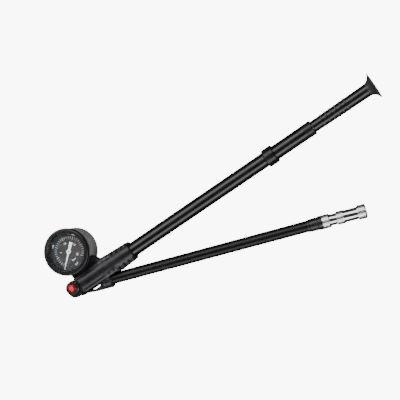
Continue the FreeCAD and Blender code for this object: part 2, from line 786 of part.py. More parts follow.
def build_movement():
    """Needle on its arbor, sector gear, movement plate, Bourdon tube and brass stem."""
    needle = new_body("needle")
    shape = [
        ("needle_length", "-needle_tip"),
        ("needle_length", "needle_tip"),
        ("0", "needle_waist"),
        ("-needle_tail", "needle_tail_half"),
        ("-needle_tail", "-needle_tail_half"),
        ("0", "-needle_waist"),
    ]
    extrude(needle, outline(needle, "XY_Plane", shape, "needle_low"), "needle_high - needle_low")
    hub = disc(needle, "XY_Plane", "0", "0", "hub_radius", "needle_low")
    extrude(needle, hub, "hub_height")
    place(needle, "needle", GAUGE_PLACE, "needle_rest")
    turned("needle_arbor", [
        ("0", "gear_low - 1"),
        ("arbor_radius", "gear_low - 1"),
        ("arbor_radius", "gear_low"),
        ("pinion_radius", "gear_low"),
        ("pinion_radius", "gear_high"),
        ("arbor_radius", "gear_high"),
        ("arbor_radius", "needle_low"),
        ("0", "needle_low"),
    ], "V_Axis", GAUGE_PLACE)
    plate = new_body("movement_plate")
    sides = [
        ("-plate_half", "-plate_half"),
        ("plate_half", "-plate_half"),
        ("plate_half", "plate_reach"),
        ("-plate_half", "plate_reach"),
    ]
    extrude(plate, outline(plate, "XY_Plane", sides, "plate_low"), "plate_high - plate_low")
    for up, radius in (("0", "arbor_radius + run_gap"), ("sector_y", "arbor_radius + run_gap")):
        hole = disc(plate, "XY_Plane", "0", up, radius, "plate_low - 1")
        extrude(plate, hole, "4", cut=True, backwards=True)
    place(plate, "movement_plate", GAUGE_PLACE)
    sector = new_body("sector_gear")
    wide = "sector_reach * sin(sector_spread)"
    low = "-sector_reach * cos(sector_spread)"
    blade = [
        (f"-{wide}", low, 1, "sector_reach"),
        (wide, low),
        ("sector_foot", "sector_foot"),
        ("-sector_foot", "sector_foot"),
    ]
    extrude(sector, outline(sector, "XY_Plane", blade, "gear_low"), "gear_high - gear_low")
    axle = disc(sector, "XY_Plane", "0", "0", "arbor_radius", "gear_low")
    extrude(sector, axle, "plate_high - gear_low")
    place(sector, "sector_gear", (GAUGE_PLACE[0], f"{GAUGE_PLACE[1]} + sector_y", PIVOT_Z), "sector_rest")
    bourdon = doc.addObject("Part::Torus", "bourdon_tube")
    bind(bourdon, Radius1="bourdon_ring", Radius2="bourdon_tube_radius", Angle3="bourdon_sweep")
    place(bourdon, "bourdon_tube", (*GAUGE_PLACE[:2], f"{PIVOT_Z} - bourdon_drop"), "bourdon_start")
    stem = new_body("gauge_stem")
    barrel = disc(stem, "XZ_Plane", "gauge_x", "0", "stem_radius", "-stem_low_y")
    extrude(stem, barrel, "stem_high_y - stem_low_y", backwards=True)
    foot = [
        ("gauge_x - foot_half", "-foot_low"),
        ("gauge_x + foot_half", "-foot_low"),
        ("gauge_x + foot_half", "foot_high"),
        ("gauge_x - foot_half", "foot_high"),
    ]
    extrude(stem, outline(stem, "XZ_Plane", foot, "-stem_high_y"), "foot_length", backwards=True)
    way = disc(stem, "XZ_Plane", "gauge_x", "0", "port_radius", "-stem_low_y")
    extrude(stem, way, "stem_high_y - stem_low_y + 4", cut=True)
    place(stem, "gauge_stem")


def build_bleed_valve():
    """Hollow pivot pin through both cheeks, with the bleed valve in its top end."""
    turned("pivot_pin", [
        ("0", "-boss_half"),
        ("pin_head_radius", "-boss_half"),
        ("pin_head_radius", "-boss_half + pin_head_width"),
        ("pin_radius", "-boss_half + pin_head_width"),
        ("pin_radius", "boss_half"),
        ("pin_bore", "boss_half"),
        ("pin_bore", "spring_seat"),
        ("needle_valve_radius + small_room", "spring_seat"),
        ("needle_valve_radius + small_room", "pin_bore_floor"),
        ("0", "pin_bore_floor"),
    ], "V_Axis", PIN_PLACE)
    turned("bleed_housing", [
        ("button_flange + button_room", "boss_half"),
        ("bleed_radius", "boss_half"),
        ("bleed_radius", "bleed_top - break_small"),
        ("bleed_radius - break_small", "bleed_top"),
        ("rim_outer", "bleed_top"),
        ("rim_outer", "rim_low"),
        ("button_flange + button_room", "rim_low"),
    ], "V_Axis", PIN_PLACE)
    turned("bleed_rim", [
        ("button_radius + small_room", "rim_low"),
        ("rim_outer", "rim_low"),
        ("rim_outer", "bleed_top + 0.1"),
        ("rim_outer - 0.2", "bleed_top + break_small"),
        ("button_radius + break_small", "bleed_top + break_small"),
        ("button_radius + small_room", "bleed_top + 0.1"),
    ], "V_Axis", PIN_PLACE)
    turned("bleed_button", [
        ("0", "button_low"),
        ("button_flange", "button_low"),
        ("button_flange", "button_low + flange_height"),
        ("button_radius", "button_low + flange_height"),
        ("button_radius", "bleed_top + button_step"),
        ("button_radius - break_soft", "bleed_top + button_slope"),
        ("button_face + break_small", "button_high - 0.2"),
        ("button_face - 0.2", "button_high"),
        ("0", "button_high"),
    ], "V_Axis", PIN_PLACE)
    turned("bleed_pin", [
        ("0", "button_low - bleed_pin_length"),
        ("needle_valve_radius", "button_low - bleed_pin_length + bleed_point"),
        ("needle_valve_radius", "button_low"),
        ("0", "button_low"),
    ], "V_Axis", PIN_PLACE)
    coil("bleed_spring", "1.5", "0.2", "spring_seat + 0.2", "button_low - spring_seat - 0.4", 5,
         Vector(0, 0, 1), PIN_PLACE)


def build_arm():
    """Swinging hose arm: windowed lug on the pivot pin, with its two seals."""
    arm = new_body("hose_arm")
    eye = ("0", "hose_offset")
    extrude(arm, disc(arm, "XY_Plane", *eye, "eye_radius"), "2 * eye_half", both=True)
    lug = [
        ("0", "hose_offset - eye_radius"),
        ("sleeve_start - lug_taper", "-arm_radius"),
        ("sleeve_start", "-arm_radius"),
        ("sleeve_start", "arm_radius - lug_slim"),
        ("0", "eye_radius"),
    ]
    extrude(arm, outline(arm, "XY_Plane", lug), "2 * lug_half", both=True)
    revolve(arm, outline(arm, "XZ_Plane", [
        ("sleeve_start - shank_step", "0"),
        ("sleeve_start - shank_step", "lug_half"),
        ("sleeve_start", "shank_radius"),
        ("arm_end - shank_step", "shank_radius"),
        ("arm_end - shank_step", "0"),
    ]))
    window = [
        ("window_start", "-window_outer_near", 1, "window_arc"),
        ("window_end", "-window_outer_far"),
        ("window_end - window_slant_far", "-window_inner"),
        ("window_start + window_slant_near", "-window_inner"),
    ]
    extrude(arm, outline(arm, "XY_Plane", window), "20", both=True, cut=True)
    extrude(arm, disc(arm, "XY_Plane", *eye, "pin_radius + run_gap"), "20", both=True, cut=True)
    revolve(arm, outline(arm, "XZ_Plane", [
        ("1", "0"),
        ("1", "air_radius"),
        ("barb_start", "air_radius"),
        ("barb_start", "barb_shank"),
        ("arm_end", "barb_shank"),
        ("arm_end", "0"),
    ]), cut=True)
    seals = (("arm_seal_upper", "seal_level"), ("arm_seal_lower", "0 - seal_level"))
    for _, level in seals:
        seat = disc(arm, "XY_Plane", *eye, "pin_radius + seal_reach", offset=f"{level} - seal_seat / 2")
        extrude(arm, seat, "seal_seat", cut=True, backwards=True)
    place(arm, "hose_arm", HOSE_PLACE, HOSE_TURN)
    for label, level in seals:
        ring(label, "pin_radius + run_gap + seal_radius", "seal_radius", level, Vector(0, 0, 1), PIN_PLACE)


def build_arm_fittings():
    """Sleeve over the arm's shank and the barb that holds the hose in it."""
    turned("arm_sleeve", [
        ("sleeve_start", "shank_radius"),
        ("arm_end - shank_step", "shank_radius"),
        ("arm_end - shank_step", "hose_radius"),
        ("arm_end", "hose_radius"),
        ("arm_end", "arm_radius - sleeve_chamfer"),
        ("arm_end - sleeve_chamfer", "arm_radius"),
        ("sleeve_start + break_wide", "arm_radius"),
        ("sleeve_start", "arm_radius - break_wide"),
    ], where=HOSE_PLACE, turn=HOSE_TURN)

    tooth = "barb_length / 3"
    corners = [
        ("barb_start", "air_radius"),
        ("barb_start", "barb_shank"),
        ("arm_end", "barb_shank"),
    ]
    for number in range(3):
        start = f"arm_end + {number} * {tooth}"
        corners += [(f"{start} + break_soft", "barb_radius"), (f"{start} + {tooth}", "barb_shank")]
    corners.append(("arm_end + barb_length", "air_radius"))
    turned("hose_barb", corners, where=HOSE_PLACE, turn=HOSE_TURN)


def hose_route():
    """Hose centre line in the upright plane of the hose arm: (along, height) points."""
    drop = value("chuck_drop")
    return [
        Vector(value("arm_end"), 0, 0),
        Vector(value("hose_bend_near"), 0, 0),
        Vector(value("hose_bend_far"), 0, -drop),
        Vector(value("hose_end"), 0, -drop),
    ]


def rounded_path(points):
    """Straight runs joined by tangent arcs, each as large as its two runs allow."""
    edges = []
    here = points[0]
    for before, corner, after in zip(points, points[1:], points[2:]):
        inward = (corner - before).normalize()
        outward = (after - corner).normalize()
        half_turn = inward.getAngle(outward) / 2
        shorter = min((corner - before).Length, (after - corner).Length)
        cut = 0.45 * shorter
        radius = cut / math.tan(half_turn)
        start = corner - inward * cut
        stop = corner + outward * cut
        bulge = (outward - inward).normalize()
        middle = corner + bulge * (radius / math.cos(half_turn) - radius)
        edges.append(Part.LineSegment(here, start).toShape())
        edges.append(Part.Arc(start, middle, stop).toShape())
        print(f"hose bend radius {radius:.0f} mm, turn {math.degrees(2 * half_turn):.2f} degrees")
        here = stop
    edges.append(Part.LineSegment(here, points[-1]).toShape())
    return Part.Wire(edges)


def build_hose():
    path = rounded_path(hose_route())
    start = path.Vertexes[0].Point
    rings = [Part.Wire([Part.makeCircle(value(size), start, Vector(1, 0, 0))])
             for size in ("hose_radius", "hose_bore")]
    outer, inner = [path.makePipeShell([ring_wire], True, True) for ring_wire in rings]
    hose = doc.addObject("Part::Feature", "hose")
    hose.Shape = outer.cut(inner)
    place(hose, "hose", HOSE_PLACE, HOSE_TURN)
    section = math.pi * (value("hose_radius") ** 2 - value("hose_bore") ** 2)
    print(f"hose length {path.Length:.1f} mm, volume {hose.Shape.Volume:.0f} of {section * path.Length:.0f}")


def build_chuck():
    """Band, ferrule, chuck body, turning nut, seal and valve depressor on the hose's far end."""
    where = (*HOSE_PLACE[:2], f"{PIVOT_Z} - chuck_drop")
    turned("hose_band", tube_corners("band_start", "hose_end", "band_radius", "hose_radius"),
           where=where, turn=HOSE_TURN)
    turned("hose_ferrule", [
        ("hose_end", "hose_bore"),
        ("ferrule_end - spigot_depth", "hose_bore"),
        ("ferrule_end - spigot_depth", "spigot_radius"),
        ("ferrule_end", "spigot_radius"),
        ("ferrule_end", "ferrule_far_radius"),
        ("ferrule_end - ferrule_ring", "ferrule_far_radius"),
        ("ferrule_end - ferrule_slope", "ferrule_near_radius"),
        ("hose_end + break_edge", "ferrule_near_radius"),
        ("hose_end", "ferrule_near_radius - break_edge"),
    ], where=where, turn=HOSE_TURN)
    turned("chuck_body", [
        ("ferrule_end - spigot_depth", "air_radius"),
        ("depressor_start - spring_room", "air_radius"),
        ("depressor_start - spring_room", "chuck_bore"),
        ("spigot_end", "chuck_bore"),
        ("spigot_end", "spigot_flange"),
        ("spigot_flange_start", "spigot_flange"),
        ("spigot_flange_start", "spigot_radius"),
        ("neck_end", "spigot_radius"),
        ("neck_end", "neck_radius"),
        ("knurl_end", "neck_radius"),
        ("knurl_end", "knurl_radius - break_edge"),
        ("knurl_end - break_edge", "knurl_radius"),
        ("ferrule_end + break_edge", "knurl_radius"),
        ("ferrule_end", "knurl_radius - break_edge"),
        ("ferrule_end", "spigot_radius"),
        ("ferrule_end - spigot_depth", "spigot_radius"),
    ], where=where, turn=HOSE_TURN)
    turned("chuck_nut", [
        ("neck_end + nut_gap", "spigot_radius + run_gap"),
        ("spigot_flange_start - nut_gap", "spigot_radius + run_gap"),
        ("spigot_flange_start - nut_gap", "chamber_radius"),
        ("nut_end - thread_length", "chamber_radius"),
        ("nut_end - thread_length", "thread_radius"),
        ("nut_end", "thread_radius"),
        ("nut_end", "nut_radius - break_edge"),
        ("nut_end - break_edge", "nut_radius"),
        ("nut_sleeve_end + break_edge", "nut_radius"),
        ("nut_sleeve_end", "nut_radius - break_edge"),
        ("nut_sleeve_end", "nut_sleeve_radius"),
        ("nut_ring_end", "nut_sleeve_radius"),
        ("nut_ring_end", "nut_ring_radius - break_edge"),
        ("nut_ring_end - break_edge", "nut_ring_radius"),
        ("neck_end + nut_gap + break_edge", "nut_ring_radius"),
        ("neck_end + nut_gap", "nut_ring_radius - break_edge"),
    ], where=where, turn=HOSE_TURN)
    turned("chuck_seal", tube_corners("spigot_end", "spigot_end + seal_width", "spigot_flange",
                                      "depressor_radius + break_edge"), where=where, turn=HOSE_TURN)
    turned("valve_depressor", [
        ("depressor_start", "0"),
        ("depressor_start", "depressor_flange"),
        ("depressor_start + flange_width", "depressor_flange"),
        ("depressor_start + flange_width", "depressor_radius"),
        ("depressor_end", "depressor_radius"),
        ("depressor_end", "0"),
    ], where=where, turn=HOSE_TURN)
    coil("depressor_spring", "1.4", "0.2", "depressor_start - 2.75", "2.5", 3, Vector(1, 0, 0), where,
         HOSE_TURN)


def check(features):
    """Stop if an object of the document failed or a piece has no sound solid."""
    for item in doc.Objects:
        if "Invalid" in item.State or "Error" in item.State:
            raise RuntimeError(f"{item.Name} failed: {item.State}")
    for piece in features:
        shape = piece.Shape
        if shape.isNull() or not shape.isValid() or not shape.Solids:
            raise RuntimeError(f"{piece.Label} has no sound solid")


def write(features):
    os.makedirs("parts", exist_ok=True)
    for piece in features:
        piece.Shape.exportStep(f"parts/{piece.Label}.step")


build_head()
build_barrel()
build_check_valve()
build_plunger()
build_handle()
build_gauge()
build_movement()
build_bleed_valve()
build_arm()
build_arm_fittings()
build_hose()
build_chuck()
doc.recompute()
check(pieces)
write(pieces)
print(len(pieces), "pieces")
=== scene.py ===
import json
import math

import bmesh
import bpy
from mathutils import Matrix, Vector


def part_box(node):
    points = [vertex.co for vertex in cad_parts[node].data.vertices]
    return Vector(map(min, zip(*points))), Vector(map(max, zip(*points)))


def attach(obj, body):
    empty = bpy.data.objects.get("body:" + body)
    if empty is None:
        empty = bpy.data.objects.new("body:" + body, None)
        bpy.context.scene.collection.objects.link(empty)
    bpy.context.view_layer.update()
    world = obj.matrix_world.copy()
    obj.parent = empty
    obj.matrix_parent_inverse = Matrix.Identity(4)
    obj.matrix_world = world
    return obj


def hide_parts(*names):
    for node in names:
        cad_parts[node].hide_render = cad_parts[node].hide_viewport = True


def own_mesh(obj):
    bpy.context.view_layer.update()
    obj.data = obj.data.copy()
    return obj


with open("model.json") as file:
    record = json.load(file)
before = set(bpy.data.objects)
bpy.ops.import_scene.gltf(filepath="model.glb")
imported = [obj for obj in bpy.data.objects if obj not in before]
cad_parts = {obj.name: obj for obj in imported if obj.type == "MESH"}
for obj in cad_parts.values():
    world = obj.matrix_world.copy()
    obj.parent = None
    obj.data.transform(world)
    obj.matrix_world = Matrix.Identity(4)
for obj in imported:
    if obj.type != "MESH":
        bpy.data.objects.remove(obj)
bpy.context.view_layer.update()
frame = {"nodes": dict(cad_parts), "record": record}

MM = 0.001
nodes = frame["nodes"]


# ---------------------------------------------------------------- places, from the frame

def middle(node):
    """Centre of a node's box."""
    low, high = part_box(node)
    return (Vector(low) + Vector(high)) / 2


def joint(name):
    """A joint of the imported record."""
    return next(item for item in frame["record"]["behaviour"]["joints"] if item["name"] == name)


BARREL = middle("barrel_tube")
GAUGE = middle("gauge_bezel")
DIAL_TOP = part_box("dial_plate")[1][2]
PIN_OFFSET = 0.0004
ZERO_X = middle("pivot_pin").x - PIN_OFFSET
HOSE_WAY = Vector(joint("nut_turn")["axis"]).normalized()
HOSE_TILT = math.atan2(HOSE_WAY.y, HOSE_WAY.x)
NUT_PLACE = Vector(joint("nut_turn")["pos_m"])
NUT_REACH = 255.0
HOSE_DROP = -5.6
HOSE_ZERO = NUT_PLACE - HOSE_WAY * (NUT_REACH * MM) - Vector((0, 0, HOSE_DROP * MM))


def along_hose(reach, height=0.0):
    """Point in the hose's upright plane, reach and height in millimetres from the hose line's zero."""
    return HOSE_ZERO + HOSE_WAY * (reach * MM) + Vector((0, 0, height * MM))


# ---------------------------------------------------------------- materials

class Surface:
    """Node material with one Principled shader, built up by the calls below."""

    def __init__(self, name, color, roughness, metallic=0.0, specular=0.5, coat=0.0):
        self.material = bpy.data.materials.new(name)
        self.material.use_nodes = True
        self.tree = self.material.node_tree
        self.shader = self.tree.nodes["Principled BSDF"]
        self.color = color
        self.shader.inputs["Base Color"].default_value = (*color, 1)
        self.shader.inputs["Roughness"].default_value = roughness
        self.shader.inputs["Metallic"].default_value = metallic
        self.shader.inputs["Specular IOR Level"].default_value = specular
        if coat:
            self.shader.inputs["Coat Weight"].default_value = coat
            self.shader.inputs["Coat Roughness"].default_value = 0.08
        self.roughness = roughness
        self.place = self.add("ShaderNodeTexCoord").outputs["Object"]
        self.normal = None
        self.shade = None

    def add(self, kind, **sockets):
        """New node with settings for its sockets."""
        node = self.tree.nodes.new(kind)
        for name, setting in sockets.items():
            node.inputs[name].default_value = setting
        return node

    def link(self, source, target):
        self.tree.links.new(source, target)

    def noise(self, scale, detail=4.0, stretch=(1, 1, 1), turn=0.0):
        """Noise over the object's own coordinates, cells per metre, stretched along its axes."""
        shift = self.add("ShaderNodeMapping")
        shift.inputs["Scale"].default_value = stretch
        shift.inputs["Rotation"].default_value = (0, 0, turn)
        self.link(self.place, shift.inputs["Vector"])
        noise = self.add("ShaderNodeTexNoise", Scale=scale, Detail=detail)
        self.link(shift.outputs["Vector"], noise.inputs["Vector"])
        return noise.outputs["Fac"]

    def spread(self, source, low, high, target, from_low=0.3, from_high=0.7):
        """Drive a socket between two values by a noise."""
        ranger = self.add("ShaderNodeMapRange")
        ranger.inputs["From Min"].default_value = from_low
        ranger.inputs["From Max"].default_value = from_high
        ranger.inputs["To Min"].default_value = low
        ranger.inputs["To Max"].default_value = high
        self.link(source, ranger.inputs["Value"])
        self.link(ranger.outputs["Result"], target)

    def vary_color(self, source, other, from_low=0.35, from_high=0.65):
        """Blend the base colour with another by a noise."""
        factor = self.blend_color(other)
        self.spread(source, 0.0, 1.0, factor, from_low, from_high)

    def blend_color(self, other):
        """Blend the colour so far with another; returns the socket for the share of the other."""
        mix = self.add("ShaderNodeMix")
        mix.data_type = "RGBA"
        first, second = [item for item in mix.inputs if item.type == "RGBA"]
        first.default_value = (*self.color, 1)
        second.default_value = (*other, 1)
        if self.shade:
            self.link(self.shade, first)
        self.shade = next(item for item in mix.outputs if item.type == "RGBA")
        self.link(self.shade, self.shader.inputs["Base Color"])
        return mix.inputs["Factor"]

    def compute(self, operation, *items):
        """Math node on sockets or numbers."""
        node = self.add("ShaderNodeMath")
        node.operation = operation
        for slot, item in zip(node.inputs, items):
            if isinstance(item, (int, float)):
                slot.default_value = item
            else:
                self.link(item, slot)
        return node.outputs["Value"]

    def stripe(self, start, pitch, width, count, flank, other):
        """Painted highlights: lighter bands on the lands across both flanks of a piece along X, all sizes
        in metres.
        """
        split = self.add("ShaderNodeSeparateXYZ")
        self.link(self.place, split.inputs["Vector"])
        steps = self.compute("DIVIDE", self.compute("SUBTRACT", split.outputs["X"], start), pitch)
        band = self.compute("LESS_THAN", self.compute("FRACT", steps), width / pitch)
        inside = self.compute("MULTIPLY", self.compute("GREATER_THAN", steps, 0.0),
                              self.compute("LESS_THAN", steps, count))
        aside = self.compute("ABSOLUTE", self.compute("SUBTRACT", split.outputs["Y"], BARREL.y))
        outer = self.compute("GREATER_THAN", aside, flank)
        share = self.compute("MULTIPLY", self.compute("MULTIPLY", band, inside), outer)
        self.link(share, self.blend_color(other))

    def vary_roughness(self, source, amount):
        """Drive the roughness up and down by an amount with a noise."""
        self.spread(source, self.roughness - amount, self.roughness + amount,
                    self.shader.inputs["Roughness"])

    def bump(self, source, height, strength=0.6):
        """Add a bump of a height in metres on top of those before it."""
        bump = self.add("ShaderNodeBump", Strength=strength, Distance=height)
        self.link(source, bump.inputs["Height"])
        if self.normal:
            self.link(self.normal, bump.inputs["Normal"])
        self.normal = bump.outputs["Normal"]
        self.link(self.normal, self.shader.inputs["Normal"])

    def soften(self, radius):
        """Round sharp edges in the shading."""
        bevel = self.add("ShaderNodeBevel", Radius=radius)
        bevel.samples = 4
        self.normal = bevel.outputs["Normal"]
        self.link(self.normal, self.shader.inputs["Normal"])


def shaded(color, factor, lift=0.0):
    """A colour made lighter or darker by a factor, then lifted."""
    return tuple(channel * factor + lift for channel in color)


def moulded_black(name, color, roughness, bands=None):
    """Black moulded nylon with a fine spark grain, rubbed a little smoother in places."""
    surface = Surface(name, color, roughness, specular=0.42)
    surface.soften(0.00025)
    worn = surface.noise(90.0, 5.0)
    surface.vary_color(worn, shaded(color, 1.7, 0.004))
    surface.vary_roughness(surface.noise(260.0, 6.0), 0.07)
    surface.bump(surface.noise(5200.0, 2.0), 0.00003)
    # Painted highlights on the lands between notches, where given.
    if bands:
        surface.stripe(**bands)
    return surface.material


def anodised(name, color, roughness, bands=None):
    """Black anodised aluminium with drawing marks along the tube."""
    surface = Surface(name, color, roughness, metallic=0.35, specular=0.85)
    surface.soften(0.0002)
    drawn = surface.noise(2600.0, 3.0, (0.03, 1, 1))
    surface.vary_color(surface.noise(60.0, 4.0), shaded(color, 1.5, 0.003))
    surface.vary_roughness(drawn, 0.05)
    surface.bump(drawn, 0.000006, 0.35)
    # Painted highlights on the lands between ribs, where given.
    if bands:
        surface.stripe(**bands)
    return surface.material


def rubber(name, color, roughness, turn=0.0):
    """Smooth extruded rubber with faint dust and fine lines along it."""
    surface = Surface(name, color, roughness, specular=0.27)
    surface.vary_color(surface.noise(140.0, 6.0), shaded(color, 1.9, 0.002), 0.45, 0.75)
    surface.vary_roughness(surface.noise(420.0, 5.0), 0.08)
    surface.bump(surface.noise(2200.0, 3.0, (0.08, 1, 1), turn), 0.00001, 0.4)
    return surface.material


def gloss(name, color, roughness, coat=0.0, glow=0.0):
    """Smooth plastic or print, with a coat or a glow where given; the glow is painted light."""
    surface = Surface(name, color, roughness, specular=0.5, coat=coat)
    surface.shader.inputs["Emission Color"].default_value = (*color, 1)
    surface.shader.inputs["Emission Strength"].default_value = glow
    surface.soften(0.0002)
    surface.vary_color(surface.noise(120.0, 4.0), shaded(color, 1.3, 0.002))
    surface.vary_roughness(surface.noise(500.0, 5.0), 0.04)
    surface.bump(surface.noise(300.0, 3.0), 0.00001, 0.2)
    return surface.material


def satin_paint(name, color, roughness):
    """Satin paint over metal with a fine orange peel."""
    surface = Surface(name, color, roughness, metallic=0.3, specular=0.5)
    surface.soften(0.0003)
    surface.vary_color(surface.noise(80.0, 5.0), shaded(color, 1.35))
    surface.vary_roughness(surface.noise(700.0, 5.0), 0.06)
    surface.bump(surface.noise(2600.0, 2.0), 0.00002, 0.35)
    return surface.material


def metal(name, color, roughness, brushed=0.03):
    """Bare or plated metal with fine turning marks and faint smears."""
    surface = Surface(name, color, roughness, metallic=1.0)
    surface.soften(0.00012)
    surface.vary_color(surface.noise(150.0, 5.0), shaded(color, 0.82), 0.4, 0.7)
    surface.vary_roughness(surface.noise(900.0, 6.0), brushed)
    surface.bump(surface.noise(3500.0, 2.0), 0.000004, 0.3)
    return surface.material


def clear_glass(name):
    """Window glass: see-through, with gloss that grows at grazing angles."""
    material = bpy.data.materials.new(name)
    material.use_nodes = True
    tree = material.node_tree
    tree.nodes.clear()
    out = tree.nodes.new("ShaderNodeOutputMaterial")
    mix = tree.nodes.new("ShaderNodeMixShader")
    clear = tree.nodes.new("ShaderNodeBsdfTransparent")
    shine = tree.nodes.new("ShaderNodeBsdfGlossy")
    edge = tree.nodes.new("ShaderNodeFresnel")
    place = tree.nodes.new("ShaderNodeTexCoord")
    smears = tree.nodes.new("ShaderNodeTexNoise")
    ranger = tree.nodes.new("ShaderNodeMapRange")
    clear.inputs["Color"].default_value = (0.985, 0.99, 0.99, 1)
    edge.inputs["IOR"].default_value = 1.48
    smears.inputs["Scale"].default_value = 160.0
    ranger.inputs["To Min"].default_value = 0.02
    ranger.inputs["To Max"].default_value = 0.09
    tree.links.new(place.outputs["Object"], smears.inputs["Vector"])
    tree.links.new(smears.outputs["Fac"], ranger.inputs["Value"])
    tree.links.new(ranger.outputs["Result"], shine.inputs["Roughness"])
    tree.links.new(edge.outputs["Fac"], mix.inputs["Fac"])
    tree.links.new(clear.outputs["BSDF"], mix.inputs[1])
    tree.links.new(shine.outputs["BSDF"], mix.inputs[2])
    tree.links.new(mix.outputs["Shader"], out.inputs["Surface"])
    return material


# Lighter bands on the flanks of the grip and the handle: painted highlights on the lands between the
# notches.
GRIP_RIB_HIGHLIGHTS = {"start": ZERO_X + 0.0319, "pitch": 0.00517, "width": 0.0034, "count": 6,
              "flank": 0.0052, "other": (0.032, 0.032, 0.038)}
HANDLE_RIB_HIGHLIGHTS = {"start": ZERO_X + 0.266, "pitch": 0.0047, "width": 0.0015, "count": 6,
                "flank": 0.0020, "other": (0.050, 0.050, 0.055)}
# Emission on the white print, the ticks and the needle: painted light that makes them brighter than the
# lamps make them.
PRINT_GLOW = 0.45
TICK_GLOW = 0.12
NEEDLE_GLOW = 1.1
LOOKS = {
    "grip": moulded_black("grip_moulding", (0.0040, 0.0040, 0.0052), 0.33, GRIP_RIB_HIGHLIGHTS),
    "head": moulded_black("head_moulding", (0.0040, 0.0040, 0.0052), 0.33),
    "tube": anodised("tube_anodised", (0.0026, 0.0027, 0.0036), 0.23),
    "handle": anodised("handle_anodised", (0.0028, 0.0028, 0.0032), 0.24, HANDLE_RIB_HIGHLIGHTS),
    "cap": moulded_black("cap_moulding", (0.0034, 0.0034, 0.0040), 0.28),
    "flare": moulded_black("flare_moulding", (0.016, 0.016, 0.0175), 0.40),
    "case": satin_paint("gauge_case_paint", (0.30, 0.30, 0.295), 0.46),
    "bezel": gloss("bezel_gloss", (0.0030, 0.0030, 0.0036), 0.33),
    "dial": satin_paint("dial_print", (0.085, 0.088, 0.090), 0.55),
    "white": gloss("white_print", (0.95, 0.95, 0.94), 0.5, glow=PRINT_GLOW),
    "needle": gloss("needle_white", (0.95, 0.94, 0.91), 0.5, glow=NEEDLE_GLOW),
    "blue": gloss("blue_print", (0.58, 0.66, 0.80), 0.5, glow=TICK_GLOW),
    "red": gloss("red_print", (0.62, 0.36, 0.42), 0.5, glow=TICK_GLOW),
    "button": gloss("button_red", (0.085, 0.0018, 0.0034), 0.20, 0.2),
    # Lighter red for the button's crown: a painted highlight.
    "button_painted_highlight": gloss("button_highlight_red", (0.42, 0.016, 0.026), 0.30, 0.2),
    "hose": rubber("hose_rubber", (0.0024, 0.0024, 0.0031), 0.30, -HOSE_TILT),
    "seal": rubber("seal_rubber", (0.012, 0.012, 0.013), 0.5),
    "chrome": metal("chrome_plate", (0.82, 0.82, 0.84), 0.09),
    "gunmetal": metal("gunmetal_rim", (0.20, 0.20, 0.21), 0.24),
    "knurled": metal("chrome_knurled", (0.90, 0.90, 0.91), 0.27),
    "steel": metal("steel_ground", (0.58, 0.58, 0.60), 0.26, 0.06),
    "brass": metal("brass_turned", (0.78, 0.58, 0.27), 0.28, 0.06),
    "acetal": gloss("acetal_white", (0.75, 0.75, 0.72), 0.4),
    "glass": clear_glass("gauge_glass"),
}

FINISH = {
    "grip": ["head_body"],
    "head": ["hose_arm", "arm_sleeve"],
    "tube": ["barrel_tube"],
    "handle": ["handle_grip"],
    "cap": ["barrel_gland", "mid_collar"],
    "flare": ["handle_flare"],
    "case": ["gauge_case"],
    "bezel": ["gauge_bezel", "bleed_housing", "hose_ferrule", "hose_band"],
    "dial": ["dial_plate"],
    "needle": ["needle"],
    "button": ["bleed_button"],
    "gunmetal": ["bleed_rim"],
    "steel": ["piston_rod", "piston_nut", "handle_screw", "pivot_pin", "bleed_pin"],
    "brass": ["needle_arbor", "movement_plate", "sector_gear", "bourdon_tube", "gauge_stem",
              "valve_seat", "hose_barb", "valve_depressor"],
    "seal": ["rod_wiper", "piston_ring", "valve_ball", "arm_seal_upper", "arm_seal_lower",
             "chuck_seal"],
    "acetal": ["rod_bush", "piston"],
    "glass": ["gauge_lens"],
}


def dress(piece, look):
    """Give an object one material."""
    piece.data.materials.clear()
    piece.data.materials.append(LOOKS[look])


for look, names in FINISH.items():
    for name in names:
        for slot in nodes[name].material_slots:
            slot.material = LOOKS[look]


# ---------------------------------------------------------------- meshes

LATHE_EDGE = 32.0
TURNED_EDGE = 50.0


def new_piece(name, mesh, look, body):
    """Object from a mesh, dressed and riding on a body."""
    piece = bpy.data.objects.new(name, mesh)
    bpy.context.scene.collection.objects.link(piece)
    dress(piece, look)
    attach(piece, body)
    return piece


def shade_smooth(mesh, angle):
    """Smooth shading, with edges sharper than an angle in degrees kept."""
    mesh.polygons.foreach_set("use_smooth", [True] * len(mesh.polygons))
    mesh.set_sharp_from_angle(angle=math.radians(angle))


def lathe(name, profile, place, turn, steps, ripple):
    """Closed mesh turned about X from (along, radius) corners in millimetres.

    ripple(along, angle) gives a height in millimetres that is added to the radius.
    """
    bm = bmesh.new()
    rings = []
    for reach, radius in profile:
        ring = []
        for step in range(steps):
            angle = 2 * math.pi * step / steps
            size = (radius + ripple(reach, angle)) * MM
            ring.append(bm.verts.new((reach * MM, size * math.sin(angle), size * math.cos(angle))))
        rings.append(ring)
    for ring, following in zip(rings, rings[1:] + rings[:1]):
        for step in range(steps):
            after = (step + 1) % steps
            bm.faces.new((ring[step], ring[after], following[after], following[step]))
    bmesh.ops.recalc_face_normals(bm, faces=bm.faces)
    bm.transform(Matrix.Translation(place) @ Matrix.Rotation(turn, 4, "Z"))
    mesh = bpy.data.meshes.new(name)
    bm.to_mesh(mesh)
    bm.free()
    shade_smooth(mesh, LATHE_EDGE)
    return mesh


# ---------------------------------------------------------------- hose

HOSE_DIAMETER = 0.010
HOSE_ROUTE = [(35.4, 0.0), (85.0, 0.0), (168.0, HOSE_DROP), (217.7, HOSE_DROP)]


